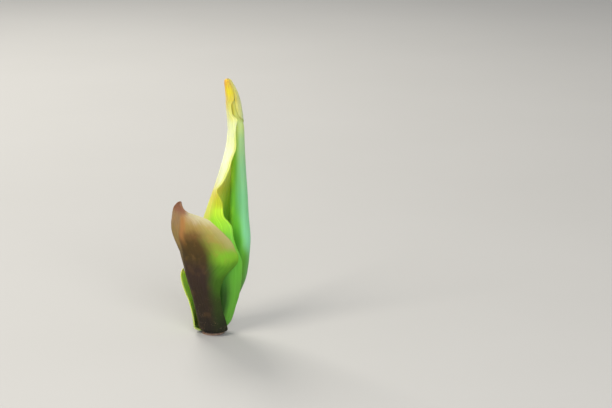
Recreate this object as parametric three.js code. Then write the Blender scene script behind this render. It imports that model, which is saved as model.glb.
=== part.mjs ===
// A maize seedling that has just come out of the ground, in millimetres, with +Z up.
// The origin is the middle of the flat cut under its stem, at ground level, and its front faces -Y.
// Turns are in degrees round a leaf: 0 at the front, 90 on the left (-X), 180 at the back, 270 on the right.
import * as THREE from "three";

const { clamp, degToRad, smoothstep } = THREE.MathUtils;

// Driving sizes
const shootHeight = 43.8;
const rolledLeafHeight = 41;
const bractHeight = 23.6;
const scaleHeight = 10.9;
const stemHeight = 3;
const wrappingFoot = 1.5;
const bractFoot = 0.4;
const leafClearance = 0.32;
const wrappingThickness = 0.46;
const bractThickness = 0.6;
const scaleThickness = 0.4;
const marginShare = 0.6;

// A smooth curve through pairs of height and value, with no bulge between them.
function curve(...pairs) {
  const heights = pairs.map((pair) => pair[0]);
  const values = pairs.map((pair) => pair[1]);
  const rises = heights.slice(1).map((h, i) => (values[i + 1] - values[i]) / (h - heights[i]));
  const slopes = heights.map((_, i) => {
    if (i === 0 || i === heights.length - 1) return rises[Math.max(0, i - 1)];
    const [before, after] = [rises[i - 1], rises[i]];
    return before * after <= 0 ? 0 : (2 * before * after) / (before + after);
  });
  return (height) => {
    const h = clamp(height, heights[0], heights[heights.length - 1]);
    let i = 0;
    while (i < heights.length - 2 && h > heights[i + 1]) i += 1;
    const span = heights[i + 1] - heights[i];
    const t = (h - heights[i]) / span;
    const [t2, t3] = [t * t, t * t * t];
    return (
      (2 * t3 - 3 * t2 + 1) * values[i] +
      (t3 - 2 * t2 + t) * span * slopes[i] +
      (3 * t2 - 2 * t3) * values[i + 1] +
      (t3 - t2) * span * slopes[i + 1]
    );
  };
}

// The short stem that carries every leaf, flared at its flat cut and leaning towards the rolled leaf.
const stem = {
  middleX: curve([0, 0], [0.4, 0.32], [1.4, 0.8], [stemHeight, 1.4]),
  middleY: curve([0, 0], [stemHeight, 0.4]),
  radius: curve([0, 1.95], [0.4, 1.75], [0.8, 1.36], [1.3, 1.04], [stemHeight, 1]),
  heights: [0, 0.2, 0.4, 0.7, 1, 1.4, 1.8, 2.4, stemHeight],
  around: 24,
};

// The innermost leaf, still rolled into a spear: its free edge laps once round it, outermost on the right.
const rolledFoot = stemHeight + leafClearance;
const rolledLeaf = {
  foot: rolledFoot,
  top: rolledLeafHeight,
  middleX: curve(
    [rolledFoot, 1.5], [4.6, 2.05], [7.2, 3.05], [9.9, 3.8], [12.9, 4.17], [16, 4.42], [20, 4.5],
    [27.5, 4.52], [31, 4.55], [34, 4.63], [35.6, 4.57], [36.6, 4.32], [37.6, 4.13], [39.4, 3.92],
    [rolledLeafHeight, 3.64],
  ),
  middleY: curve(
    [rolledFoot, 0.42], [7.2, 0.9], [12, 1.25], [20, 1.05], [30, 0.5], [36, 0.05], [rolledLeafHeight, 0],
  ),
  radius: curve(
    [rolledFoot, 1], [4.6, 1.4], [7.2, 1.8], [9.9, 2.05], [12.9, 2.12], [16, 2.1], [20, 1.78], [24, 1.61],
    [27.5, 1.4], [31, 1.23], [34, 1.03], [35.6, 0.88], [36.6, 0.67], [37.6, 0.56], [39.4, 0.45],
    [rolledLeafHeight, 0.15],
  ),
  seamTurn: 232,
  lap: 0.34,
  lapShare: 0.3,
  around: 24,
  along: 36,
};

// The taller leaf that wraps the rolled one from the left, with a hooded tip over both.
const wrappingLeaf = {
  foot: wrappingFoot,
  top: shootHeight,
  thickness: wrappingThickness,
  middleX: curve(
    [wrappingFoot, 1], [4, 1.65], [7, 2.1], [14, 1.85], [18, 2.03], [21.3, 2.5], [24.4, 3], [27.9, 3.76],
    [31, 4.2], [35, 4.34], [36.4, 4.25], [37.4, 4.13], [38.2, 4.05], [39.4, 3.92], [40.6, 3.78], [41.4, 3.63],
    [42.2, 3.43], [43, 3.18], [shootHeight, 3],
  ),
  middleY: curve([wrappingFoot, 0.2], [7, 0.8], [16, 0.92], [24.4, 0.7], [30, 0.4], [shootHeight, 0]),
  halfWidth: curve(
    [wrappingFoot, 1.95], [4, 2.4], [7, 3.05], [10, 3.75], [14, 4.2], [18, 3.95], [21.3, 3.4], [24.4, 2.85],
    [29.9, 2.15], [33, 1.67], [36.4, 1.4], [38.2, 1.31], [39.4, 1.28], [40.4, 1.19], [41.2, 1.09], [42, 0.95],
    [42.7, 0.8], [43.2, 0.66], [shootHeight, 0.3],
  ),
  halfDepth: curve(
    [wrappingFoot, 1.82], [4, 2.26], [7, 2.95], [10, 3.35], [16, 3.4], [21, 3], [27, 2.4],
    [33, 1.63], [37, 1.33], [39.4, 1.22], [41, 1.04], [43, 0.64], [shootHeight, 0.27],
  ),
  nearEdge: curve(
    [wrappingFoot, -84], [3, -68], [6, -56], [12.5, -54], [14, -46], [16, -33], [18.9, -23], [19.9, -14],
    [20.8, 2], [22.8, 12], [23.5, 18], [24.1, 29], [24.7, 43], [25.2, 49], [25.8, 39], [27.1, 26], [29, 16],
    [30.6, 12], [32.2, -1], [35, 1], [36.5, -8], [37.1, -16], [37.8, 4], [38.4, 14], [39.3, 16], [40.2, -2],
    [41, -19], [shootHeight, -22],
  ),
  farEdge: curve(
    [wrappingFoot, 266], [3, 240], [5, 218], [9, 203], [16, 208], [27, 200], [34, 198], [35.3, 212],
    [36.2, 240], [36.8, 272], [37.8, 322], [38.8, 338], [39.6, 342], [41, 336], [shootHeight, 333],
  ),
  lip: { out: 0.3, from: 24, full: 26.5, until: 36.5, gone: 38, share: 0.16 },
  across: 24,
  along: 64,
};

// The broad, keeled outer leaf at the front, its tip gaping to the left.
const bract = {
  foot: bractFoot,
  top: bractHeight,
  thickness: bractThickness,
  middleX: curve(
    [bractFoot, 0.35], [5, 0.33], [9.5, 0.15], [12.6, 0.47], [14.2, 0.5], [15.5, 0.1], [17, -0.45],
    [19.3, -1.15], [bractHeight, -1.4],
  ),
  middleY: curve([bractFoot, -0.08], [6, 0], [13.7, 0], [19.3, -0.3], [bractHeight, 0.2]),
  halfWidth: curve(
    [bractFoot, 2.75], [3, 3], [5.4, 3.45], [9.5, 4.4], [12.6, 5.4], [14.5, 5.8], [17, 5.85], [19.3, 5.5],
    [bractHeight, 4.6],
  ),
  halfDepth: curve(
    [bractFoot, 2.75], [2, 2.95], [5, 3.3], [9, 3.9], [13.9, 4.75], [19, 4.9], [bractHeight, 4.2],
  ),
  nearEdge: curve(
    [bractFoot, -62], [3, -42], [5.4, -25], [7.8, -20], [11.2, -27], [13.9, -47], [16.2, -46], [19.3, -31],
    [20.8, -17], [21.7, 5], [22.2, 24], [bractHeight, 46],
  ),
  farEdge: curve(
    [bractFoot, 168], [4, 136], [7, 130], [12, 146], [16, 142], [19.6, 118], [22, 84], [bractHeight, 55],
  ),
  keel: { turn: 52, out: 0.42, half: 16, full: 6.4 },
  across: 24,
  along: 34,
};

// The small basal scale, seen past the bract on the left.
const scale = {
  foot: bractFoot,
  top: scaleHeight,
  thickness: scaleThickness,
  middleX: curve([bractFoot, 0.35], [scaleHeight, 0.3]),
  middleY: curve([bractFoot, 0.1], [scaleHeight, 0.4]),
  halfWidth: curve(
    [bractFoot, 3.56], [3, 3.84], [5.6, 4.42], [6.8, 4.88], [8.5, 5.45], [10, 5.72], [scaleHeight, 5.5],
  ),
  halfDepth: curve([bractFoot, 3.5], [3, 3.75], [5.6, 4.15], [8.5, 4.75], [scaleHeight, 5]),
  nearEdge: curve([bractFoot, 70], [5, 78], [9, 89], [scaleHeight, 98]),
  farEdge: curve([bractFoot, 164], [5, 148], [9, 124], [scaleHeight, 106]),
  across: 8,
  along: 14,
};

const turnX = (turn) => -Math.sin(degToRad(turn));
const turnY = (turn) => -Math.cos(degToRad(turn));
const gap = (p, q) => Math.hypot(p[0] - q[0], p[1] - q[1], p[2] - q[2]);

// A list of evenly spaced values from low to high, both included.
function steps(low, high, count) {
  return Array.from({ length: count + 1 }, (_, i) => low + ((high - low) * i) / count);
}

// A closed geometry from rings of points, each ring a list of [x, y, z] round one section.
// Every four-sided patch is split along its shorter diagonal, so that steep patches stay smooth.
function loft(rings) {
  const around = rings[0].length;
  const points = rings.flat();
  const faces = [];
  for (let j = 0; j < rings.length - 1; j += 1) {
    for (let i = 0; i < around; i += 1) {
      const [a, b] = [j * around + i, j * around + ((i + 1) % around)];
      const [c, d] = [b + around, a + around];
      const shorter = gap(points[a], points[c]) <= gap(points[b], points[d]);
      faces.push(...(shorter ? [a, b, c, a, c, d] : [a, b, d, b, c, d]));
    }
  }
  const flat = (ring) => ring.map(([x, y]) => new THREE.Vector2(x, y));
  const top = points.length - around;
  for (const [a, b, c] of THREE.ShapeUtils.triangulateShape(flat(rings[0]), [])) faces.push(a, c, b);
  for (const [a, b, c] of THREE.ShapeUtils.triangulateShape(flat(rings.at(-1)), [])) {
    faces.push(top + a, top + b, top + c);
  }
  const geometry = new THREE.BufferGeometry();
  geometry.setAttribute("position", new THREE.Float32BufferAttribute(points.flat(), 3));
  geometry.setIndex(faces);
  geometry.computeVertexNormals();
  return geometry;
}

// How far a leaf stands out past its even wall: the raised edge of a blade, or a keel.
function relief(leaf, turn, share, height) {
  let out = 0;
  if (leaf.lip) {
    const { from, full, until, gone } = leaf.lip;
    const along = smoothstep(height, from, full) * (1 - smoothstep(height, until, gone));
    out += leaf.lip.out * along * (1 - smoothstep(share, 0, leaf.lip.share));
  }
  if (leaf.keel) {
    const off = (turn - leaf.keel.turn) / leaf.keel.half;
    out += leaf.keel.out * Math.exp(-off * off) * smoothstep(height, leaf.foot, leaf.keel.full);
  }
  return out;
}

// The wall is full in the middle of a leaf, thins to its margins, and fits inside a narrow tip.
const mostOfSection = 0.82;
function wallAt(leaf, share, wide, deep) {
  const fullness = marginShare + (1 - marginShare) * Math.sqrt(Math.sin(Math.PI * share));
  return Math.min(leaf.thickness * fullness, mostOfSection * Math.min(wide, deep));
}

// One leaf as a curved sheet: each ring goes along its inner wall and back along its outer wall.
function leafGeometry(leaf) {
  const rings = steps(leaf.foot, leaf.top, leaf.along).map((height) => {
    const [near, far] = [leaf.nearEdge(height), leaf.farEdge(height)];
    const [wide, deep] = [leaf.halfWidth(height), leaf.halfDepth(height)];
    const wallPoint = (share, inward) => {
      const turn = near + (far - near) * share;
      const grow = relief(leaf, turn, share, height) - inward * wallAt(leaf, share, wide, deep);
      return [
        leaf.middleX(height) + (wide + grow) * turnX(turn),
        leaf.middleY(height) + (deep + grow) * turnY(turn),
        height,
      ];
    };
    const shares = steps(0, 1, leaf.across);
    const inner = shares.map((share) => wallPoint(share, 1));
    const outer = shares.map((share) => wallPoint(share, 0));
    return [...inner, ...outer.reverse()];
  });
  return loft(rings);
}

// The rolled leaf as one solid spear: its wall steps out by one lap where the free edge ends.
function rolledGeometry(leaf) {
  const rings = steps(leaf.foot, leaf.top, leaf.along).map((height) => {
    const radius = leaf.radius(height);
    const lap = Math.min(leaf.lap, leaf.lapShare * radius);
    return steps(0, 1, leaf.around).map((share) => {
      const turn = leaf.seamTurn - 360 * share;
      const reach = radius - lap * (1 - share);
      return [leaf.middleX(height) + reach * turnX(turn), leaf.middleY(height) + reach * turnY(turn), height];
    });
  });
  return loft(rings);
}

// The stem as one leaning, tapering solid.
function stemGeometry() {
  const rings = stem.heights.map((height) =>
    Array.from({ length: stem.around }, (_, i) => {
      const turn = (-360 * i) / stem.around;
      const reach = stem.radius(height);
      return [stem.middleX(height) + reach * turnX(turn), stem.middleY(height) + reach * turnY(turn), height];
    }),
  );
  return loft(rings);
}

const plant = new THREE.Group();

function add(name, geometry, color, roughness) {
  const mesh = new THREE.Mesh(geometry, new THREE.MeshStandardMaterial({ color, roughness, metalness: 0 }));
  mesh.name = name;
  plant.add(mesh);
}

add("stem", stemGeometry(), 0x9fae6a, 0.6);
add("basal_scale", leafGeometry(scale), 0x5fa62c, 0.5);
add("outer_bract", leafGeometry(bract), 0x8f8a3a, 0.6);
add("wrapping_leaf", leafGeometry(wrappingLeaf), 0xc8dc3c, 0.45);
add("rolled_leaf", rolledGeometry(rolledLeaf), 0x5cb85c, 0.4);

export default plant;
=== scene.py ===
from bisect import bisect_right
from math import cos, exp, pi, radians, sin, sqrt

import bpy
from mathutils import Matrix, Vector, noise


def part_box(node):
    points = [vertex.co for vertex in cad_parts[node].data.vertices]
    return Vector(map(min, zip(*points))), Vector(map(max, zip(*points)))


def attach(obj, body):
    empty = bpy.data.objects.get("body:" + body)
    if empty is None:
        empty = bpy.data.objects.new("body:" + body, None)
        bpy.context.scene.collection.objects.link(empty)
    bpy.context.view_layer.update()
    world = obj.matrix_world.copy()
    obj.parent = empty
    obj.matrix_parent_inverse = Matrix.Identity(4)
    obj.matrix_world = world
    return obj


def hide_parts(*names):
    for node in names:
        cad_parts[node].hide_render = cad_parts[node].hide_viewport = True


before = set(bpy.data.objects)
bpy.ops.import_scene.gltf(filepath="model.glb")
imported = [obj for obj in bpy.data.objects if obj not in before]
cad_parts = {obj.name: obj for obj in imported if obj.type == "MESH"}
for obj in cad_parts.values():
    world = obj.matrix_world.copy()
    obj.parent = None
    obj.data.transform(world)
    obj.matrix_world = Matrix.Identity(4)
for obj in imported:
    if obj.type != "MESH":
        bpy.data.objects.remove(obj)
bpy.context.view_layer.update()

MM = 0.001


def foot_and_top(node):
    """The heights between which a plain solid stands, in millimetres."""
    low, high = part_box(node)
    return round(low.z / MM, 2), round(high.z / MM, 2)


def rgb(red, green, blue):
    """A colour as a shader takes it."""
    return (red, green, blue, 1.0)


# Driving sizes, from the plain solids
STEM_TOP = foot_and_top("stem")[1]
SCALE_FOOT, SCALE_TOP = foot_and_top("basal_scale")
BRACT_FOOT, BRACT_TOP = foot_and_top("outer_bract")
WRAPPING_FOOT, SHOOT_HEIGHT = foot_and_top("wrapping_leaf")
ROLLED_FOOT, ROLLED_TOP = foot_and_top("rolled_leaf")
ROLLED_LAP = 0.34           # how far the rolled leaf's free edge stands out over the turn below
WRAPPING_TUCK = 0.6         # how far the wrapping leaf reaches down the stem below its solid

# How the leaves are curled from flat grids, and how their walls and tips end
FULL_TURN = 360
GRID_SIZE = 1
END_EASE = 0.55             # how much closer the rows of a leaf lie at its foot and tip
EDGE_WALL = 0.45            # a wall's thickness at its edges, as a share of its full thickness
MOST_OF_SECTION = 0.82      # the most of a narrow tip's section that a wall fills
TIP_ROUND = 0.5             # the height over which a tip closes
TIP_LEAST = 0.08            # the share of its breadth that a tip ends with

# How often a leaf's unevenness comes and goes: across the leaf, and in a millimetre of height
WAVERS_ACROSS, WAVERS_ALONG, ROLLED_WAVERS_ALONG = 3, 0.22, 0.15
WRINKLES_ACROSS, WRINKLES_ALONG = 26, 0.35
RAGS_ALONG = 0.9
NEAR_RAGS, FAR_RAGS = 0, 5  # where each edge's wandering starts, so that the two differ

# Where the relief grows to its full height
WRINKLE_RISE = 6            # the height above a leaf's foot
RIBS_FROM, RIBS_FULL = 0.04, 0.3        # how far from a leaf's edges, as the sine of its share
FINE_FROM, FINE_FULL = 0.4, 1.2         # the rolled leaf's radius

# What the finishes share
NOISE_MIDDLE = 0.5          # taken from a noise, it leaves a wandering to both sides
FLESH_DEPTH = 1.0           # how far light spreads inside a leaf, in millimetres
FLESH_SPREAD = (1.0, 0.9, 0.25)         # the share of that depth for red, green and blue light
DEEPER_STREAK = rgb(0.6, 0.7, 0.45)
PALER_VEIN = rgb(1.7, 1.6, 1.9)
DUST = rgb(0.34, 0.24, 0.15)

# The studio, with its sizes and places in metres
FLOOR_SIZE = 3
SKY = rgb(0.9, 0.94, 1.0)
SKY_STRENGTH = 0.42
LENS_MM, SENSOR_MM = 100, 36
NEAREST_SEEN = 0.01
CAMERA_PLACE = (0.01581, -0.27352, 0.095817)
CAMERA_TILT = 75            # degrees from looking straight down


def curve(*pairs):
    """A smooth curve through pairs of height and value, with no bulge between them."""
    heights = [height for height, _ in pairs]
    values = [value for _, value in pairs]
    steps = zip(pairs, pairs[1:])
    rises = [(after - before) / (high - low) for (low, before), (high, after) in steps]
    slopes = [rises[0]]
    for before, after in zip(rises, rises[1:]):
        slopes.append(0 if before * after <= 0 else 2 * before * after / (before + after))
    slopes.append(rises[-1])

    def at(height):
        h = min(max(height, heights[0]), heights[-1])
        i = min(bisect_right(heights, h), len(heights) - 1) - 1
        span = heights[i + 1] - heights[i]
        t = (h - heights[i]) / span
        return (
            (2 * t**3 - 3 * t**2 + 1) * values[i]
            + (t**3 - 2 * t**2 + t) * span * slopes[i]
            + (3 * t**2 - 2 * t**3) * values[i + 1]
            + (t**3 - t**2) * span * slopes[i + 1]
        )

    return at


class Sizes:
    """The named sizes and curves of one piece of the plant.

    A leaf runs round its section, which has a middle, a half width and a half depth, from its
    near edge to its far edge. Its wall is its thickness halfway across, and is nowhere thicker
    than thickness. Its tip closes by its whole section or by its span, the turns between its
    edges. It can have a lip along its near edge, and a keel. It has so many ribs, each as high
    as rib; waver and wrinkle are how uneven it is, and ragged is how many degrees its edges
    wander. Its foot draws in to the stem over the height tuck. Its grid has so many faces
    across and along.
    """

    lip = None
    keel = None

    def __init__(self, **sizes):
        self.__dict__.update(sizes)


stem_sizes = Sizes(
    middle_x=curve((0, 0), (0.4, 0.32), (1.4, 0.8), (STEM_TOP, 1.4)),
    middle_y=curve((0, 0), (STEM_TOP, 0.4)),
    radius=curve((0, 1.95), (0.4, 1.75), (0.8, 1.36), (1.3, 1.04), (STEM_TOP, 1)),
    rings=(0.12, 0.3, 0.42, 0.5, 0.8, 1.1, 1.4, 1.52, 1.62, 2, 2.5, STEM_TOP),
    cut_rim=0.3,
    sides=48,
)

rolled_sizes = Sizes(
    foot=ROLLED_FOOT,
    top=ROLLED_TOP,
    thickness=ROLLED_LAP,
    middle_x=curve(
        (ROLLED_FOOT, 1.5), (4.6, 2.05), (7.2, 3.05), (9.9, 3.8), (12.9, 4.17), (16, 4.42),
        (20, 4.5), (27.5, 4.52), (31, 4.55), (34, 4.63), (35.6, 4.6), (36.6, 4.4), (37.6, 4.16),
        (39.4, 3.92), (ROLLED_TOP, 3.64),
    ),
    middle_y=curve(
        (ROLLED_FOOT, 0.42), (7.2, 0.9), (12, 1.25), (20, 1.05), (30, 0.5), (36, 0.05),
        (ROLLED_TOP, 0),
    ),
    radius=curve(
        (ROLLED_FOOT, 1), (4.6, 1.4), (7.2, 1.8), (9.9, 2.05), (12.9, 2.12), (16, 2.1),
        (20, 1.78), (24, 1.61), (27.5, 1.4), (31, 1.23), (34, 1.08), (35.6, 1.07), (36.6, 1.08),
        (37.6, 1.1), (38.4, 1.02), (39.4, 1), (40.4, 0.86), (ROLLED_TOP, 0.66),
    ),
    seam_turn=232,          # where the free edge lies
    lap=ROLLED_LAP,
    lap_share=0.3,          # the most of the radius that the free edge stands out
    under_lap=0.25,         # how much of a turn is rolled in beneath the free edge
    wall_share=0.68,        # the wall, as a share of the lap
    rib=0.018,
    ribs=26,
    waver=0.03,
    across=72,
    along=130,
)

wrapping_sizes = Sizes(
    foot=WRAPPING_FOOT - WRAPPING_TUCK,
    top=SHOOT_HEIGHT,
    thickness=0.46,
    wall=curve(
        (WRAPPING_FOOT, 0.4), (6, 0.46), (18, 0.42), (25, 0.32), (34, 0.24), (38, 0.2),
        (SHOOT_HEIGHT, 0.18),
    ),
    closes="section",
    middle_x=curve(
        (WRAPPING_FOOT, 1), (4, 1.65), (7, 2.1), (14, 1.85), (18, 2.03), (21.3, 2.5), (24.4, 3),
        (27.9, 3.76), (31, 4.2), (35, 4.34), (36.4, 4.25), (37.4, 4.13), (38.2, 4.05),
        (39.4, 3.92), (40.6, 3.78), (41.4, 3.63), (42.2, 3.43), (43, 3.18), (SHOOT_HEIGHT, 3),
    ),
    middle_y=curve(
        (WRAPPING_FOOT, 0.2), (7, 0.8), (16, 0.92), (24.4, 0.7), (30, 0.4), (SHOOT_HEIGHT, 0),
    ),
    half_width=curve(
        (WRAPPING_FOOT, 1.95), (4, 2.4), (7, 3.05), (10, 3.75), (14, 4.2), (18, 3.95),
        (21.3, 3.4), (24.4, 2.85), (29.9, 2.15), (33, 1.67), (36.4, 1.4), (38.2, 1.31),
        (39.4, 1.28), (40.4, 1.19), (41.2, 1.09), (42, 0.95), (42.7, 0.8), (43.2, 0.68),
        (SHOOT_HEIGHT, 0.56),
    ),
    half_depth=curve(
        (WRAPPING_FOOT, 1.82), (4, 2.26), (7, 2.95), (10, 3.35), (16, 3.4), (21, 3), (27, 2.4),
        (33, 1.63), (37, 1.33), (39.4, 1.22), (41, 1.04), (43, 0.64), (SHOOT_HEIGHT, 0.5),
    ),
    near_edge=curve(
        (WRAPPING_FOOT, -84), (3, -68), (6, -56), (12.5, -54), (14, -46), (16, -33),
        (17.6, -26), (18.9, -23), (19.9, -14), (20.8, 2), (21.7, 8), (22.8, 12), (23.5, 18),
        (24.1, 29), (24.7, 43), (25.2, 49), (25.8, 39), (27.1, 26), (28.2, 20.5), (29, 16),
        (29.8, 15), (30.6, 12), (31.4, 6), (32.2, -1), (33, -3), (34, 0), (35, 1), (35.9, -3),
        (36.5, -8), (36.9, -16), (37.2, -18), (37.5, -8), (37.8, 8), (38.2, 14), (39.3, 16),
        (39.8, 10), (40.2, -6), (40.7, -20), (SHOOT_HEIGHT, -26),
    ),
    far_edge=curve(
        (WRAPPING_FOOT, 266), (3, 240), (5, 218), (9, 203), (16, 208), (27, 200), (34, 198),
        (35.3, 212), (36.2, 240), (36.8, 276), (37.3, 310), (37.8, 327), (38.6, 337),
        (39.4, 342), (40.4, 339), (SHOOT_HEIGHT, 333),
    ),
    lip=Sizes(out=0.3, start=24, full=26.5, until=36.5, gone=38, share=0.16),
    rib=0.02,
    ribs=22,
    waver=0.05,
    wrinkle=0,
    ragged=0.7,
    tuck=1.5,
    across=66,
    along=170,
)

bract_sizes = Sizes(
    foot=BRACT_FOOT,
    top=BRACT_TOP,
    thickness=0.6,
    wall=curve((BRACT_FOOT, 0.6), (16, 0.56), (20, 0.42), (BRACT_TOP, 0.28)),
    closes="span",
    middle_x=curve(
        (BRACT_FOOT, 0.35), (5, 0.33), (9.5, 0.15), (12.6, 0.47), (14.2, 0.5), (15.5, 0.1),
        (17, -0.45), (19.3, -1.15), (BRACT_TOP, -1.4),
    ),
    middle_y=curve((BRACT_FOOT, -0.08), (6, 0), (13.7, 0), (19.3, -0.3), (BRACT_TOP, 0.2)),
    half_width=curve(
        (BRACT_FOOT, 2.75), (3, 3), (5.4, 3.45), (9.5, 4.4), (12.6, 5.4), (14.5, 5.8),
        (17, 5.85), (19.3, 5.5), (BRACT_TOP, 4.6),
    ),
    half_depth=curve(
        (BRACT_FOOT, 2.75), (2, 2.95), (5, 3.3), (9, 3.9), (13.9, 4.75), (19, 4.9),
        (BRACT_TOP, 4.2),
    ),
    near_edge=curve(
        (BRACT_FOOT, -62), (3, -42), (5.4, -25), (7.8, -20), (11.2, -27), (13.9, -47),
        (16.2, -46), (19.3, -31), (20.8, -17), (21.7, 5), (22.2, 24), (BRACT_TOP, 46),
    ),
    far_edge=curve(
        (BRACT_FOOT, 168), (4, 136), (7, 130), (12, 146), (16, 142), (19.6, 118), (22, 84),
        (BRACT_TOP, 55),
    ),
    keel=Sizes(turn=curve((14, 52), (17, 40), (20, 33)), out=0.42, half=15, full=6.4),
    rib=0.035,
    ribs=20,
    waver=0.09,
    wrinkle=0.05,
    ragged=2.2,
    tuck=0.9,
    across=60,
    along=100,
)

scale_sizes = Sizes(
    foot=SCALE_FOOT,
    top=SCALE_TOP,
    thickness=0.4,
    wall=curve((SCALE_FOOT, 0.4), (7, 0.36), (SCALE_TOP, 0.24)),
    closes="span",
    middle_x=curve((SCALE_FOOT, 0.35), (SCALE_TOP, 0.3)),
    middle_y=curve((SCALE_FOOT, 0.1), (SCALE_TOP, 0.4)),
    half_width=curve(
        (SCALE_FOOT, 3.56), (3, 3.84), (5.6, 4.42), (6.8, 4.88), (8.5, 5.45), (10, 5.72),
        (SCALE_TOP, 5.5),
    ),
    half_depth=curve((SCALE_FOOT, 3.5), (3, 3.75), (5.6, 4.15), (8.5, 4.75), (SCALE_TOP, 5)),
    near_edge=curve((SCALE_FOOT, 70), (5, 78), (9, 89), (SCALE_TOP, 98)),
    far_edge=curve((SCALE_FOOT, 164), (5, 148), (9, 124), (SCALE_TOP, 106)),
    rib=0.02,
    ribs=9,
    waver=0.03,
    wrinkle=0,
    ragged=1,
    tuck=0.7,
    across=27,
    along=56,
)


def smooth(value, low, high):
    """0 below low, 1 above high, and an even rise between them."""
    t = min(max((value - low) / (high - low), 0), 1)
    return t * t * (3 - 2 * t)


def quarter_round(share):
    """How high a quarter of a circle has risen, from 0 to 1, over a share of its breadth."""
    return sqrt(1 - (1 - share) ** 2)


def drift(*place):
    """A gentle, repeatable wandering between about -1 and 1."""
    return noise.noise(Vector(place))


def turned(piece, turn, wide, deep, height):
    """The point at a turn round a section that reaches so wide and so deep, in millimetres."""
    x = piece.middle_x(height) - wide * sin(radians(turn))
    y = piece.middle_y(height) - deep * cos(radians(turn))
    return Vector((x, y, height))


def row_height(leaf, climb):
    """The height of a row of a leaf: rows lie closer together at its foot and tip."""
    eased = climb - END_EASE * sin(2 * pi * climb) / (2 * pi)
    return leaf.foot + (leaf.top - leaf.foot) * eased


def ribbing(leaf, share):
    """How far the ribs that run up a leaf stand out."""
    return leaf.rib * cos(2 * pi * leaf.ribs * share)


def relief(leaf, turn, share, height):
    """How far a leaf stands out past its even wall, with its ribs, its lip and its keel."""
    out = leaf.waver * drift(share * WAVERS_ACROSS, height * WAVERS_ALONG, leaf.top)
    wrinkle = leaf.wrinkle * drift(share * WRINKLES_ACROSS, height * WRINKLES_ALONG, leaf.top)
    out += wrinkle * smooth(height, leaf.foot, leaf.foot + WRINKLE_RISE)
    out += ribbing(leaf, share) * smooth(sin(pi * share), RIBS_FROM, RIBS_FULL)
    if leaf.lip:
        lip = leaf.lip
        along = smooth(height, lip.start, lip.full) * (1 - smooth(height, lip.until, lip.gone))
        out += lip.out * along * (1 - smooth(share, 0, lip.share))
    if leaf.keel:
        off = (turn - leaf.keel.turn(height)) / leaf.keel.half
        out += leaf.keel.out * exp(-off * off) * smooth(height, leaf.foot, leaf.keel.full)
    return out


def tip_closing(leaf, height):
    """How much of a leaf's breadth is left close to its tip, which is rounded."""
    return max(quarter_round(min((leaf.top - height) / TIP_ROUND, 1)), TIP_LEAST)


def stem_point(turn, height):
    """A point on the stem's skin."""
    reach = stem_sizes.radius(height)
    return turned(stem_sizes, turn, reach, reach, height)


def sheet_point(leaf, share, climb):
    """A point on a leaf's outer face, the turn it lies at, and the wall's thickness behind it."""
    height = row_height(leaf, climb)
    near = leaf.near_edge(height) + leaf.ragged * drift(height * RAGS_ALONG, NEAR_RAGS, leaf.top)
    far = leaf.far_edge(height) + leaf.ragged * drift(height * RAGS_ALONG, FAR_RAGS, leaf.top)
    closed = tip_closing(leaf, height)
    if leaf.closes == "span":
        middle = (near + far) / 2
        near, far = middle + (near - middle) * closed, middle + (far - middle) * closed
    turn = near + (far - near) * share
    wide, deep = leaf.half_width(height), leaf.half_depth(height)
    fullness = EDGE_WALL + (1 - EDGE_WALL) * sqrt(max(sin(pi * share), 0))
    wall = min(leaf.wall(height) * fullness, MOST_OF_SECTION * min(wide, deep))
    if leaf.closes == "section":
        wide, deep, wall = wide * closed, deep * closed, wall * closed
    out = relief(leaf, turn, share, height) * closed
    point = turned(leaf, turn, wide + out, deep + out, height)
    drawn_out = quarter_round(min((height - leaf.foot) / leaf.tuck, 1))
    return stem_point(turn, height).lerp(point, drawn_out), turn, wall


def spiral_point(leaf, share, climb):
    """The same for the rolled leaf, whose free edge laps over the start of its first turn."""
    height = row_height(leaf, climb)
    rolled = (1 + leaf.under_lap) * share - leaf.under_lap
    turn = leaf.seam_turn - FULL_TURN * rolled
    radius = leaf.radius(height) * tip_closing(leaf, height)
    lap = min(leaf.lap, leaf.lap_share * radius)
    fine = smooth(radius, FINE_FROM, FINE_FULL)
    out = ribbing(leaf, share) * fine
    out += leaf.waver * drift(share * WAVERS_ACROSS, height * ROLLED_WAVERS_ALONG, leaf.top) * fine
    reach = radius - lap * (1 - rolled) + out
    return turned(leaf, turn, reach, reach, height), turn, leaf.wall_share * lap


def new_piece(name):
    """Names the primitive that was just added."""
    piece = bpy.context.object
    piece.name = name
    piece.data.name = name
    return piece


def applied(piece, kind, **settings):
    """Adds a modifier to a piece and applies it."""
    modifier = piece.modifiers.new(kind.title(), kind)
    for setting, value in settings.items():
        setattr(modifier, setting, value)
    bpy.context.view_layer.objects.active = piece
    bpy.ops.object.modifier_apply(modifier=modifier.name)


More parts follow.
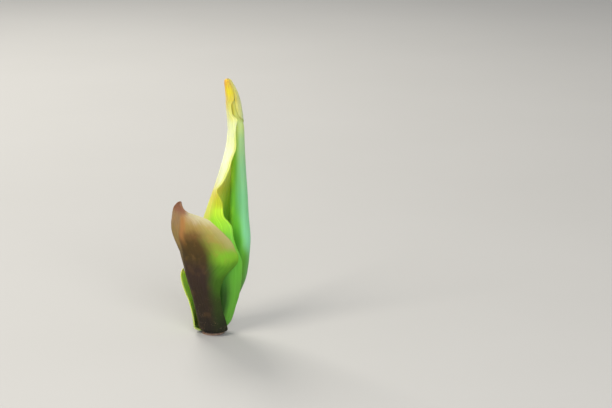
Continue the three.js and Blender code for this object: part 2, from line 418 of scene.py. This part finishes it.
def grown(name, leaf, point_at, runs_left):
    """A leaf: a flat grid with its own map, curled by a rule, given its wall and smoothed.

    The grid's faces end up pointing inwards where its shares run to the left, and are turned.
    The wall's inner face takes the piece's second material.
    """
    bpy.ops.object.select_all(action="DESELECT")
    bpy.ops.mesh.primitive_grid_add(
        x_subdivisions=leaf.across, y_subdivisions=leaf.along, size=GRID_SIZE,
    )
    piece = new_piece(name)
    half = GRID_SIZE / 2
    corners = piece.data.vertices
    places = [point_at(leaf, corner.co.x + half, corner.co.y + half) for corner in corners]
    walls = piece.vertex_groups.new(name="wall")
    for index, (point, _, wall) in enumerate(places):
        corners[index].co = point * MM
        walls.add([index], wall / leaf.thickness, "REPLACE")
    turns = piece.data.attributes.new("turn", "FLOAT", "POINT")
    turns.data.foreach_set("value", [turn for _, turn, _ in places])
    if runs_left:
        bpy.ops.object.mode_set(mode="EDIT")
        bpy.ops.mesh.select_all(action="SELECT")
        bpy.ops.mesh.flip_normals()
        bpy.ops.object.mode_set(mode="OBJECT")
    applied(
        piece, "SOLIDIFY", thickness=leaf.thickness * MM, offset=-1, vertex_group="wall",
        use_quality_normals=True, material_offset=1,
    )
    applied(piece, "SUBSURF", levels=1, render_levels=1)
    piece.vertex_groups.clear()
    bpy.ops.object.shade_smooth()
    return piece


def make_stem():
    """The stem: a filled circle, inset so that its cut stays flat, then drawn up ring by ring."""
    bpy.ops.object.select_all(action="DESELECT")
    reach = stem_sizes.radius(0)
    bpy.ops.mesh.primitive_circle_add(
        vertices=stem_sizes.sides, radius=reach * MM, fill_type="NGON",
    )
    piece = new_piece("stem_piece")
    bpy.ops.object.mode_set(mode="EDIT")
    bpy.ops.mesh.select_all(action="SELECT")
    bpy.ops.mesh.inset(thickness=stem_sizes.cut_rim * MM)
    bpy.ops.mesh.select_all(action="SELECT")
    below = Vector((0, 0, 0))
    for height in stem_sizes.rings:
        middle = Vector((stem_sizes.middle_x(height), stem_sizes.middle_y(height), height))
        step = (middle - below) * MM
        bpy.ops.mesh.extrude_region_move(TRANSFORM_OT_translate={"value": step})
        grow = stem_sizes.radius(height) / reach
        bpy.ops.transform.resize(value=(grow, grow, 1), center_override=middle * MM)
        below, reach = middle, stem_sizes.radius(height)
    bpy.ops.mesh.select_all(action="SELECT")
    bpy.ops.mesh.normals_make_consistent(inside=False)
    bpy.ops.object.mode_set(mode="OBJECT")
    applied(piece, "SUBSURF", levels=1, render_levels=1)
    bpy.ops.object.shade_smooth()
    return piece


class Value:
    """A shader socket that sums can be written with: each operator adds one Math node."""

    def __init__(self, finish, socket):
        self.finish = finish
        self.socket = socket

    def math(self, operation, first, second):
        return self.finish.node("ShaderNodeMath", {"operation": operation}, {0: first, 1: second})

    def __add__(self, other):
        return self.math("ADD", self, other)

    def __radd__(self, other):
        return self.math("ADD", other, self)

    def __sub__(self, other):
        return self.math("SUBTRACT", self, other)

    def __rsub__(self, other):
        return self.math("SUBTRACT", other, self)

    def __mul__(self, other):
        return self.math("MULTIPLY", self, other)

    def __rmul__(self, other):
        return self.math("MULTIPLY", other, self)


class Finish:
    """One material: the places on a piece that its patterns follow, and its shader."""

    def __init__(self, name):
        self.material = bpy.data.materials.new(name)
        self.material.use_nodes = True
        self.material.node_tree.nodes.clear()
        place = self.node("ShaderNodeTexCoord", {}, {}, "Object")
        self.place = self.node(
            "ShaderNodeVectorMath", {"operation": "SCALE"}, {0: place, "Scale": 1 / MM},
        )
        self.height = self.node("ShaderNodeSeparateXYZ", {}, {0: self.place}, "Z")
        own_map = self.node("ShaderNodeTexCoord", {}, {}, "UV")
        self.share = self.node("ShaderNodeSeparateXYZ", {}, {0: own_map}, "X")
        self.turn = self.node("ShaderNodeAttribute", {"attribute_name": "turn"}, {}, "Fac")

    def node(self, kind, settings, sockets, output=0):
        """Adds a node: first its settings, then its sockets, each a number or another's output."""
        made = self.material.node_tree.nodes.new(kind)
        for name, setting in settings.items():
            setattr(made, name, setting)
        for key, given in sockets.items():
            if isinstance(given, Value):
                self.material.node_tree.links.new(given.socket, made.inputs[key])
            else:
                made.inputs[key].default_value = given
        return Value(self, made.outputs[output]) if made.outputs else None

    def above(self, value, low, high):
        """A mask that is 0 below low and 1 above high, with an even rise between them."""
        return self.node(
            "ShaderNodeMapRange", {"interpolation_type": "SMOOTHSTEP"},
            {"Value": value, "From Min": low, "From Max": high, "To Min": 0.0, "To Max": 1.0},
        )

    def below(self, value, low, high):
        """A mask that is 1 below low and 0 above high."""
        return 1 - self.above(value, low, high)

    def band(self, value, start, full, until, gone):
        """A mask that rises to 1 from start to full, and falls to 0 from until to gone."""
        return self.above(value, start, full) * self.below(value, until, gone)

    def blend(self, mask, under, over):
        """One colour laid over another where the mask is 1."""
        settings = {"data_type": "RGBA", "clamp_factor": True}
        return self.node("ShaderNodeMix", settings, {0: mask, 6: under, 7: over}, 2)

    def tint(self, mask, under, tint):
        """A colour multiplied by another where the mask is 1."""
        settings = {"data_type": "RGBA", "blend_type": "MULTIPLY"}
        return self.node("ShaderNodeMix", settings, {0: mask, 6: under, 7: tint}, 2)

    def ramp_value(self, value, *stops):
        """A number that changes evenly from stop to stop, each a value and its number."""
        total = stops[0][1]
        for (low, before), (high, after) in zip(stops, stops[1:]):
            total = self.above(value, low, high) * (after - before) + total
        return total

    def ramp(self, value, *stops):
        """A colour that changes evenly from stop to stop: a value, its red, green and blue."""
        colour = rgb(*stops[0][1:])
        for (low, *_), (high, *over) in zip(stops, stops[1:]):
            colour = self.blend(self.above(value, low, high), colour, rgb(*over))
        return colour

    def mottle(self, size, detail=3.0):
        """Cloudy patches of a size in millimetres."""
        sockets = {"Vector": self.place, "Scale": 1 / size, "Detail": detail}
        return self.node("ShaderNodeTexNoise", {}, sockets)

    def streaks(self, count, length, seed=0.0):
        """Long streaks along a leaf's veins: a count across it and a length in millimetres."""
        across, along = self.share * count, self.height * (1 / length)
        place = self.node("ShaderNodeCombineXYZ", {}, {0: across, 1: along, 2: seed})
        return self.node("ShaderNodeTexNoise", {}, {"Vector": place, "Scale": 1.0, "Detail": 2.0})

    def rough(self, least, spread, size=0.5):
        """A roughness that goes up by a spread in patches of a size in millimetres."""
        return least + self.mottle(size) * spread

    def veined(self, colour, strength=0.35):
        """A colour with soft pale veins and slightly deeper streaks along a leaf."""
        streaked = self.above(self.streaks(count=34, length=9), 0.42, 0.8) * strength
        deeper = self.tint(streaked, colour, DEEPER_STREAK)
        vein = self.above(self.streaks(count=64, length=16, seed=7.0), 0.5, 0.8) * strength
        return self.tint(vein, deeper, PALER_VEIN)

    def dusted(self, colour, top):
        """A colour with dry dust on it, which clings in specks below a height."""
        specks = self.above(self.mottle(0.16, detail=2.0), 0.62, 0.7)
        patches = self.above(self.mottle(1.6), 0.45, 0.65)
        dust = specks * patches * self.below(self.height, 0, top)
        return self.blend(dust * 0.8, colour, DUST)

    def shade(self, colour, roughness, grain, glow, depth=0.02, gloss=0.25):
        """Ends the material: its grain is depth millimetres deep, and glow is the light let in."""
        normal = self.node(
            "ShaderNodeBump", {}, {"Strength": 1.0, "Distance": depth * MM, "Height": grain},
        )
        shader = self.node(
            "ShaderNodeBsdfPrincipled", {"subsurface_method": "RANDOM_WALK"},
            {
                "Base Color": colour, "Roughness": roughness, "Normal": normal,
                "Subsurface Weight": glow, "Subsurface Radius": FLESH_SPREAD,
                "Subsurface Scale": FLESH_DEPTH * MM, "Specular IOR Level": gloss,
            },
        )
        self.node("ShaderNodeOutputMaterial", {}, {"Surface": shader})
        return self.material


def wrapping_outside():
    """Lime below, cream along the raised margin, and yellow to orange at the hooded tip."""
    finish = Finish("wrapping_leaf_outside")
    wander = finish.mottle(2.4) - NOISE_MIDDLE
    height = finish.height + wander * 1.2
    turn = finish.turn + wander * 10
    # Each ramp runs near black at the foot, as painted shade of the ground round it; the olive
    # band at 23 to 25 mm, just below the lip, is painted shade.
    front = finish.ramp(
        height,
        (1, 0.02, 0.035, 0.01), (7, 0.03, 0.1, 0.01), (13, 0.07, 0.27, 0.02),
        (17, 0.2, 0.54, 0.06), (19.6, 0.32, 0.66, 0.04), (21.6, 0.46, 0.7, 0.04),
        (23.2, 0.42, 0.46, 0.02), (24.6, 0.54, 0.44, 0.03), (26.6, 0.74, 0.78, 0.46),
        (31, 0.83, 0.86, 0.5), (36, 0.84, 0.88, 0.36), (37.6, 0.86, 0.8, 0.2),
        (39.4, 0.85, 0.7, 0.14), (40.6, 0.86, 0.56, 0.06), (41.6, 0.98, 0.62, 0.02),
        (43.4, 0.92, 0.42, 0.04),
    )
    # On the left one colour runs into the next in streaks, along the veins
    feathered = height + (finish.streaks(count=22, length=9, seed=3.0) - NOISE_MIDDLE) * 4
    left = finish.ramp(
        feathered,
        (1, 0.03, 0.05, 0.01), (8, 0.1, 0.2, 0.02), (14, 0.36, 0.5, 0.04),
        (19, 0.54, 0.6, 0.1), (22.4, 0.58, 0.61, 0.1), (24.2, 0.58, 0.52, 0.08),
        (27.4, 0.68, 0.69, 0.42), (31, 0.82, 0.84, 0.56), (36, 0.84, 0.85, 0.44),
        (38, 0.82, 0.76, 0.3), (40.4, 0.76, 0.5, 0.14), (41.6, 0.82, 0.46, 0.05),
        (43.4, 0.72, 0.3, 0.05),
    )
    right = finish.ramp(
        height,
        (8, 0.05, 0.16, 0.02), (20, 0.14, 0.4, 0.04), (30, 0.4, 0.56, 0.14),
        (37, 0.6, 0.68, 0.28), (40, 0.68, 0.7, 0.28), (43.4, 0.8, 0.68, 0.2),
    )
    # Turns past 270 count on from -90, so that the hood's two edges meet at the front
    side = turn - finish.above(finish.turn, 269, 270) * FULL_TURN
    colour = finish.blend(finish.above(side, 30, 62), front, left)
    colour = finish.blend(finish.above(side, 120, 200), colour, right)
    across = finish.below(side, -74, -6) * finish.above(height, 30, 34)
    colour = finish.blend(across, colour, right)
    # Painted shade: a darker yellow-green along the lip's edge, where it turns away from the
    # light.
    margin = finish.below(finish.share, 0.015, 0.1) * finish.band(height, 24, 27, 33, 37)
    colour = finish.blend(margin * 0.85, colour, rgb(0.64, 0.66, 0.12))
    shoulder = finish.below(side, -30, 0) * finish.below(height, 19, 22)
    colour = finish.blend(shoulder * 0.5, colour, rgb(0.2, 0.62, 0.05))
    # Painted shade: dark olive along the lobe's edge, beside the gap.
    painted_shade_lobe_edge = finish.below(finish.share, 0, 0.06) * finish.band(height, 21.6, 22.8, 24, 25)
    colour = finish.blend(painted_shade_lobe_edge * 0.6, colour, rgb(0.26, 0.3, 0.02))
    grain = finish.streaks(count=120, length=5)
    return finish.shade(finish.veined(colour), finish.rough(0.46, 0.16), grain, glow=0.9)


def wrapping_inside():
    """The olive inner face that shows where the leaf stands open, with painted light and shade."""
    finish = Finish("wrapping_leaf_inside")
    wander = finish.streaks(count=12, length=6) - NOISE_MIDDLE
    # Painted light and shade: near black in the gap beside the rolled leaf at 21 to 22 mm, glowing
    # bright green below it and bright yellow above it, standing in for light let through the leaf;
    # dark towards the foot.
    colour = finish.ramp(
        finish.height + wander * 1.6,
        (10, 0.08, 0.24, 0.01), (18, 0.5, 0.86, 0.03), (19.8, 0.5, 0.84, 0.02),
        (20.9, 0.05, 0.14, 0.005), (22.3, 0.09, 0.16, 0.005), (23.7, 1.0, 0.74, 0.005),
        (26, 1.0, 0.8, 0.01), (29, 1.0, 0.8, 0.03), (35, 0.9, 0.84, 0.16),
    )
    right_side = finish.above(finish.turn, 150, 180) * finish.above(finish.height, 22, 24)
    colour = finish.blend(right_side * 0.5, colour, rgb(0.62, 0.9, 0.02))
    colour = finish.veined(colour, strength=0.12)
    grain = finish.streaks(count=120, length=5)
    return finish.shade(colour, finish.rough(0.6, 0.1), grain, glow=0.9, gloss=0)


def rolled_outside():
    """Deep green beside the wrapping leaf, partly painted shade, and glaucous round its right
    side.
    """
    finish = Finish("rolled_leaf_outside")
    wander = finish.streaks(count=14, length=10) - NOISE_MIDDLE
    height = finish.height + wander * 1.5
    bloom_and_sheen_edge = finish.ramp_value(height, (13, -60), (16, -28), (18, -18), (24, -2))
    off_bloom_and_sheen = finish.turn + wander * 14 - bloom_and_sheen_edge
    # The green side: partly painted shade beside the wrapping leaf, darker towards the foot as
    # painted shade of the ground, and olive near the tip as painted shade in the hood's slit.
    green = finish.ramp(
        height,
        (5, 0.04, 0.13, 0.01), (12, 0.08, 0.28, 0.016), (17, 0.15, 0.5, 0.03),
        (23, 0.13, 0.4, 0.03), (29, 0.19, 0.48, 0.03), (32.5, 0.33, 0.56, 0.07),
        (35.5, 0.52, 0.62, 0.12), (37.2, 0.4, 0.4, 0.04), (39, 0.45, 0.4, 0.04),
        (40.4, 0.6, 0.42, 0.05),
    )
    # The glaucous side: partly the leaf's waxy coat, partly a painted sheen of cool light on its
    # right; darker towards the foot and olive near the tip are painted shade.
    bloom_and_sheen = finish.ramp(
        height,
        (5, 0.065, 0.18, 0.024), (12, 0.13, 0.36, 0.08), (16.5, 0.23, 0.64, 0.3),
        (22, 0.215, 0.57, 0.26), (28, 0.24, 0.54, 0.25), (33.5, 0.35, 0.58, 0.25),
        (36.3, 0.5, 0.64, 0.22), (37.6, 0.45, 0.48, 0.12), (39, 0.46, 0.46, 0.1),
    )
    colour = finish.blend(finish.below(off_bloom_and_sheen, -24, 24), green, bloom_and_sheen)
    # Painted shade: a deeper green stripe down the leaf's front.
    painted_shade_down_front = finish.band(finish.turn, -36, -12, 8, 30) * finish.band(height, 19, 22, 25, 32)
    colour = finish.blend(painted_shade_down_front * 0.4, colour, rgb(0.06, 0.27, 0.07))
    # Painted shade: dark green low down, in the fold beside the wrapping leaf's lobe.
    painted_shade_crease = finish.band(finish.turn, -28, -6, 8, 30) * finish.below(height, 16, 21.5)
    colour = finish.blend(painted_shade_crease * 0.8, colour, rgb(0.05, 0.26, 0.01))
    # Painted light: a brighter green on the left, low down under the wrapping leaf's lobe,
    # standing in for light let through the lobe.
    painted_light_under_lobe = finish.above(finish.turn, 20, 44) * finish.band(height, 16.5, 19, 21, 23)
    colour = finish.blend(painted_light_under_lobe * 0.6, colour, rgb(0.34, 0.8, 0.05))
    # Painted light: a bright green high on the left, lightening the shade under the wrapping
    # leaf's lip.
    painted_light_facing = finish.above(finish.turn, 20, 62) * finish.above(height, 24, 28)
    colour = finish.blend(painted_light_facing * 0.85, colour, rgb(0.5, 0.9, 0.05))
    colour = finish.veined(colour, strength=0.2)
    grain = finish.streaks(count=140, length=6)
    return finish.shade(colour, 0.48 + wander * 0.2, grain, glow=0.45)


def rolled_inside():
    """The paler inner face of the roll."""
    finish = Finish("rolled_leaf_inside")
    deep_green, pale_green = rgb(0.2, 0.36, 0.06), rgb(0.4, 0.6, 0.14)
    colour = finish.blend(finish.above(finish.height, 6, 30), deep_green, pale_green)
    grain = finish.streaks(count=140, length=6)
    return finish.shade(finish.veined(colour), finish.rough(0.5, 0.1), grain, glow=0.45)


def bract_outside():
    """Dry tan above dark brown on the left, a rusty keel, and the living green at the front."""
    finish = Finish("outer_bract_outside")
    wander = finish.mottle(2.6) - NOISE_MIDDLE
    fibre = finish.streaks(count=26, length=8) - NOISE_MIDDLE
    height = finish.height + wander * 1.8 + fibre * 1.2
    turn = finish.turn + wander * 12 + fibre * 8
    # Both run near black towards the foot: partly soil stain, partly painted shade of the ground
    # round it.
    dry = finish.ramp(
        height,
        (1, 0.017, 0.013, 0.009), (7, 0.028, 0.018, 0.011), (12, 0.036, 0.021, 0.015),
        (14.5, 0.054, 0.034, 0.011), (16.8, 0.074, 0.044, 0.012), (18.4, 0.14, 0.076, 0.022),
        (20, 0.27, 0.18, 0.052), (22, 0.34, 0.23, 0.1),
    )
    green = finish.ramp(
        height,
        (1, 0.017, 0.018, 0.009), (6, 0.028, 0.048, 0.008), (10, 0.045, 0.12, 0.008),
        (12.6, 0.08, 0.22, 0.012), (14.6, 0.18, 0.4, 0.022), (16.4, 0.25, 0.31, 0.038),
        (18.4, 0.31, 0.28, 0.066), (20.4, 0.4, 0.33, 0.11),
    )
    colour = finish.blend(finish.above(turn, -16, 17), green, dry)
    off_ridge = finish.turn - finish.ramp_value(finish.height, (14, 52), (17, 41), (20, 34))
    wing = finish.ramp(
        height,
        (5, 0.05, 0.048, 0.012), (10, 0.07, 0.06, 0.018), (14, 0.1, 0.065, 0.024),
        (17.5, 0.23, 0.16, 0.05), (21, 0.24, 0.15, 0.07),
    )
    colour = finish.blend(finish.above(off_ridge + wander * 6, 2, 10), colour, wing)
    rust = finish.above(finish.mottle(1.5), 0.52, 0.68) * finish.above(height, 12, 17)
    colour = finish.blend(rust * 0.3, colour, rgb(0.36, 0.19, 0.05))
    blotches = finish.above(finish.mottle(2.1, detail=4.0), 0.5, 0.66)
    browned = blotches * finish.below(height, 13, 17) * finish.above(turn, -6, 20)
    colour = finish.blend(browned * 0.35, colour, rgb(0.1, 0.055, 0.02))
    across_keel = finish.band(off_ridge + fibre * 14, -12, -1, 1, 11)
    along_keel = finish.band(height, 15.8, 18.6, 20.8, 22.4)
    colour = finish.blend(across_keel * along_keel * 0.9, colour, rgb(0.31, 0.145, 0.045))
    near_margin = finish.below(finish.share, 0.02, 0.15) * finish.above(height, 14.5, 17)
    colour = finish.blend(near_margin * 0.7, colour, rgb(0.42, 0.36, 0.16))
    paper = finish.below(finish.share, 0.12, 0.42) * finish.above(height, 19.8, 21.4)
    colour = finish.blend(paper * finish.below(turn, 24, 40) * 0.8, colour, rgb(0.48, 0.45, 0.3))
    tip = finish.above(height, 21.2, 22.4) * finish.above(turn, 20, 34)
    colour = finish.blend(tip * 0.85, colour, rgb(0.2, 0.08, 0.05))
    colour = finish.dusted(finish.veined(colour, strength=0.16), top=12)
    grain = finish.streaks(count=90, length=4)
    roughness = finish.rough(0.58, 0.2, size=0.7)
    return finish.shade(colour, roughness, grain, glow=0.25, depth=0.04, gloss=0.14)


def bract_inside():
    """The papery inner face of the bract."""
    finish = Finish("outer_bract_inside")
    olive, paper = rgb(0.12, 0.15, 0.03), rgb(0.33, 0.27, 0.12)
    colour = finish.blend(finish.above(finish.height, 6, 16), olive, paper)
    roughness = finish.rough(0.6, 0.15, size=0.7)
    grain = finish.streaks(count=90, length=4)
    return finish.shade(finish.veined(colour), roughness, grain, glow=0.3, depth=0.04)


def scale_skin():
    """Fresh green with a pale margin and a browned tip."""
    finish = Finish("basal_scale_skin")
    dark_foot, fresh = rgb(0.08, 0.16, 0.016), rgb(0.4, 0.7, 0.06)
    colour = finish.blend(finish.above(finish.height, 0.5, 6), dark_foot, fresh)
    middle = finish.band(finish.share, 0.0, 0.14, 0.86, 1.0)
    colour = finish.blend((1 - middle) * 0.6, colour, rgb(0.52, 0.6, 0.2))
    tip = finish.above(finish.height, 9.8, SCALE_TOP)
    colour = finish.blend(tip * 0.6, colour, rgb(0.45, 0.33, 0.12))
    colour = finish.dusted(finish.veined(colour, strength=0.3), top=7)
    grain = finish.streaks(count=50, length=4)
    return finish.shade(colour, finish.rough(0.45, 0.15), grain, glow=0.9)


def stem_skin():
    """Pale stem tissue, flushed purple towards the cut."""
    finish = Finish("stem_skin")
    height = finish.height + (finish.mottle(0.8) - NOISE_MIDDLE) * 0.8
    flush, pale = rgb(0.26, 0.14, 0.11), rgb(0.38, 0.4, 0.15)
    colour = finish.blend(finish.above(height, 0.2, 1.6), flush, pale)
    flecks = finish.above(finish.mottle(0.3), 0.4, 0.7)
    colour = finish.dusted(finish.blend(flecks * 0.3, colour, rgb(0.62, 0.6, 0.36)), top=3)
    return finish.shade(colour, finish.rough(0.5, 0.15, size=0.4), flecks, glow=0.3)


def floor_paint():
    """A plain pale floor with a faint, broad unevenness."""
    finish = Finish("pale_floor")
    darker, lighter = rgb(0.38, 0.371, 0.354), rgb(0.405, 0.396, 0.38)
    colour = finish.blend(finish.mottle(60.0), darker, lighter)
    shader = finish.node("ShaderNodeBsdfPrincipled", {}, {"Base Color": colour, "Roughness": 0.8})
    finish.node("ShaderNodeOutputMaterial", {}, {"Surface": shader})
    return finish.material


def dress(piece, node, slot, *finishes):
    """Gives a piece its materials and puts it in the place of its plain solid."""
    for finish in finishes:
        piece.data.materials.append(finish)
    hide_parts(node)
    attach(piece, "root")


stem_piece = make_stem()
dress(stem_piece, "stem", "stem", stem_skin())

scale_piece = grown("basal_scale_piece", scale_sizes, sheet_point, runs_left=True)
dress(scale_piece, "basal_scale", "scale_green", scale_skin(), scale_skin())

bract_piece = grown("outer_bract_piece", bract_sizes, sheet_point, runs_left=True)
dress(bract_piece, "outer_bract", "bract_ochre", bract_outside(), bract_inside())

wrapping_piece = grown("wrapping_leaf_piece", wrapping_sizes, sheet_point, runs_left=True)
dress(wrapping_piece, "wrapping_leaf", "leaf_lime", wrapping_outside(), wrapping_inside())

rolled_piece = grown("rolled_leaf_piece", rolled_sizes, spiral_point, runs_left=False)
dress(rolled_piece, "rolled_leaf", "leaf_green", rolled_outside(), rolled_inside())

# The pale floor that the shoot stands on
bpy.ops.object.select_all(action="DESELECT")
bpy.ops.mesh.primitive_plane_add(size=FLOOR_SIZE)
floor = new_piece("floor")
floor.data.materials.append(floor_paint())


def soft_light(name, place, watts, size, colour):
    """A square area light that faces the middle of the shoot."""
    light = bpy.data.lights.new(name, "AREA")
    light.energy = watts
    light.size = size
    light.color = colour
    lamp = bpy.data.objects.new(name, light)
    lamp.location = place
    aim = Vector((0, 0, SHOOT_HEIGHT * MM / 2)) - Vector(place)
    lamp.rotation_euler = aim.to_track_quat("-Z", "Y").to_euler()
    bpy.context.scene.collection.objects.link(lamp)


soft_light("key_light", (-0.24, -0.22, 0.34), watts=1.7, size=0.2, colour=(1.0, 0.96, 0.88))
soft_light("fill_light", (0.12, -0.35, 0.22), watts=1.2, size=0.26, colour=(0.97, 0.98, 1.0))
soft_light("back_light", (-0.14, 0.3, 0.3), watts=1.5, size=0.2, colour=(1.0, 0.97, 0.9))

world = bpy.data.worlds.new("studio")
world.use_nodes = True
sky = world.node_tree.nodes["Background"].inputs
sky["Color"].default_value = SKY
sky["Strength"].default_value = SKY_STRENGTH
bpy.context.scene.world = world
bpy.context.scene.view_settings.view_transform = "Standard"

camera_data = bpy.data.cameras.new("camera")
camera_data.lens = LENS_MM
camera_data.sensor_width = SENSOR_MM
camera_data.clip_start = NEAREST_SEEN
camera = bpy.data.objects.new("camera", camera_data)
camera.location = CAMERA_PLACE
camera.rotation_euler = (radians(CAMERA_TILT), 0, 0)
bpy.context.scene.collection.objects.link(camera)
bpy.context.scene.camera = camera
